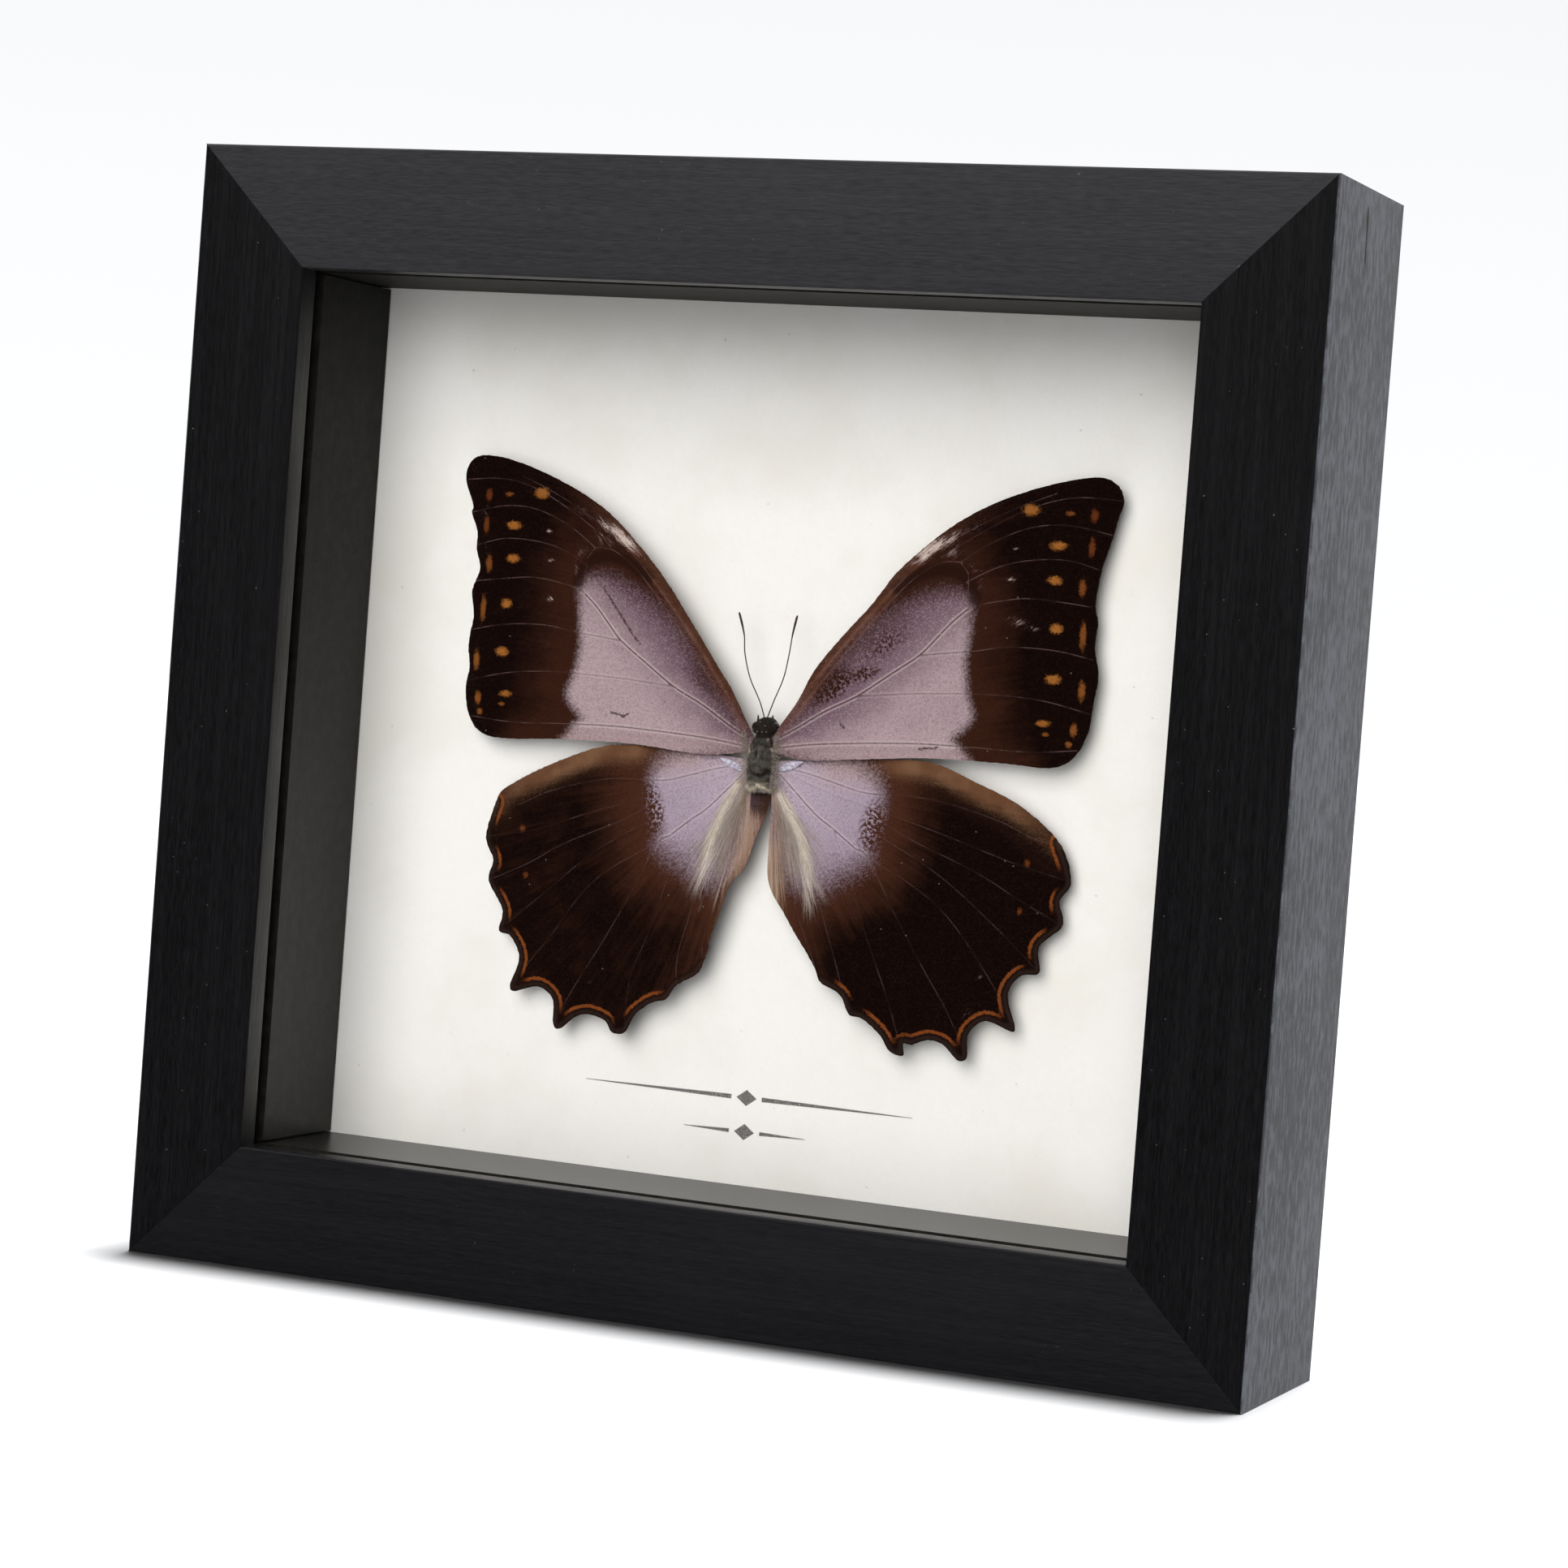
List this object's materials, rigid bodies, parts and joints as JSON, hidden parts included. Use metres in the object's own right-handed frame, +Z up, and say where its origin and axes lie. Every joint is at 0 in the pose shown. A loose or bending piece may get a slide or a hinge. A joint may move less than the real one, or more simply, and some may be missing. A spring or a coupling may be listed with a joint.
{
  "type": "framed butterfly specimen",
  "caption": "Square black wooden box frame, glazed, with a set butterfly with brown and lilac wings in front of an off-white card; stands on its edge or hangs.",
  "frame": {"origin": "middle of the frame's bottom face, where it stands", "axes": "+X to the right as seen from the front, +Y from the glass to the back, +Z up"},
  "size_m": [0.178, 0.035, 0.17],
  "materials": {
    "black_wood": "black stained wood, satin, with fine open grain along each rail",
    "clear_glass": "clear flat picture glass",
    "spacer_wood": "dull black painted wood",
    "off_white_card": "matt off-white card with faint parchment mottling",
    "brown_hardboard": "brown hardboard, smooth side out",
    "zinc_steel": "thin zinc-plated sheet steel",
    "wing_scales": "matt wing scales, near-black brown with a lilac basal patch and orange spots",
    "body_fur": "dark grey-brown fur over a dry body",
    "antenna_horn": "thin dark brown horn"
  },
  "bodies": {
    "root": {"frame_rail_top": "black_wood", "frame_rail_bottom": "black_wood", "frame_rail_left": "black_wood", "frame_rail_right": "black_wood", "glass_pane": "clear_glass", "spacer_top": "spacer_wood", "spacer_bottom": "spacer_wood", "spacer_left": "spacer_wood", "spacer_right": "spacer_wood", "backing_card": "off_white_card", "back_board": "brown_hardboard", "point_left_low": "zinc_steel", "point_left_high": "zinc_steel", "point_right_low": "zinc_steel", "point_right_high": "zinc_steel", "point_bottom_low": "zinc_steel", "point_bottom_high": "zinc_steel", "point_top_low": "zinc_steel", "point_top_high": "zinc_steel", "sawtooth_hanger": "zinc_steel", "hanger_nail_left": "zinc_steel", "hanger_nail_right": "zinc_steel", "forewing_right": "wing_scales", "forewing_left": "wing_scales", "hindwing_right": "wing_scales", "hindwing_left": "wing_scales", "butterfly_body": "body_fur", "antenna_right": "antenna_horn", "antenna_left": "antenna_horn"}
  },
  "joints": []
}
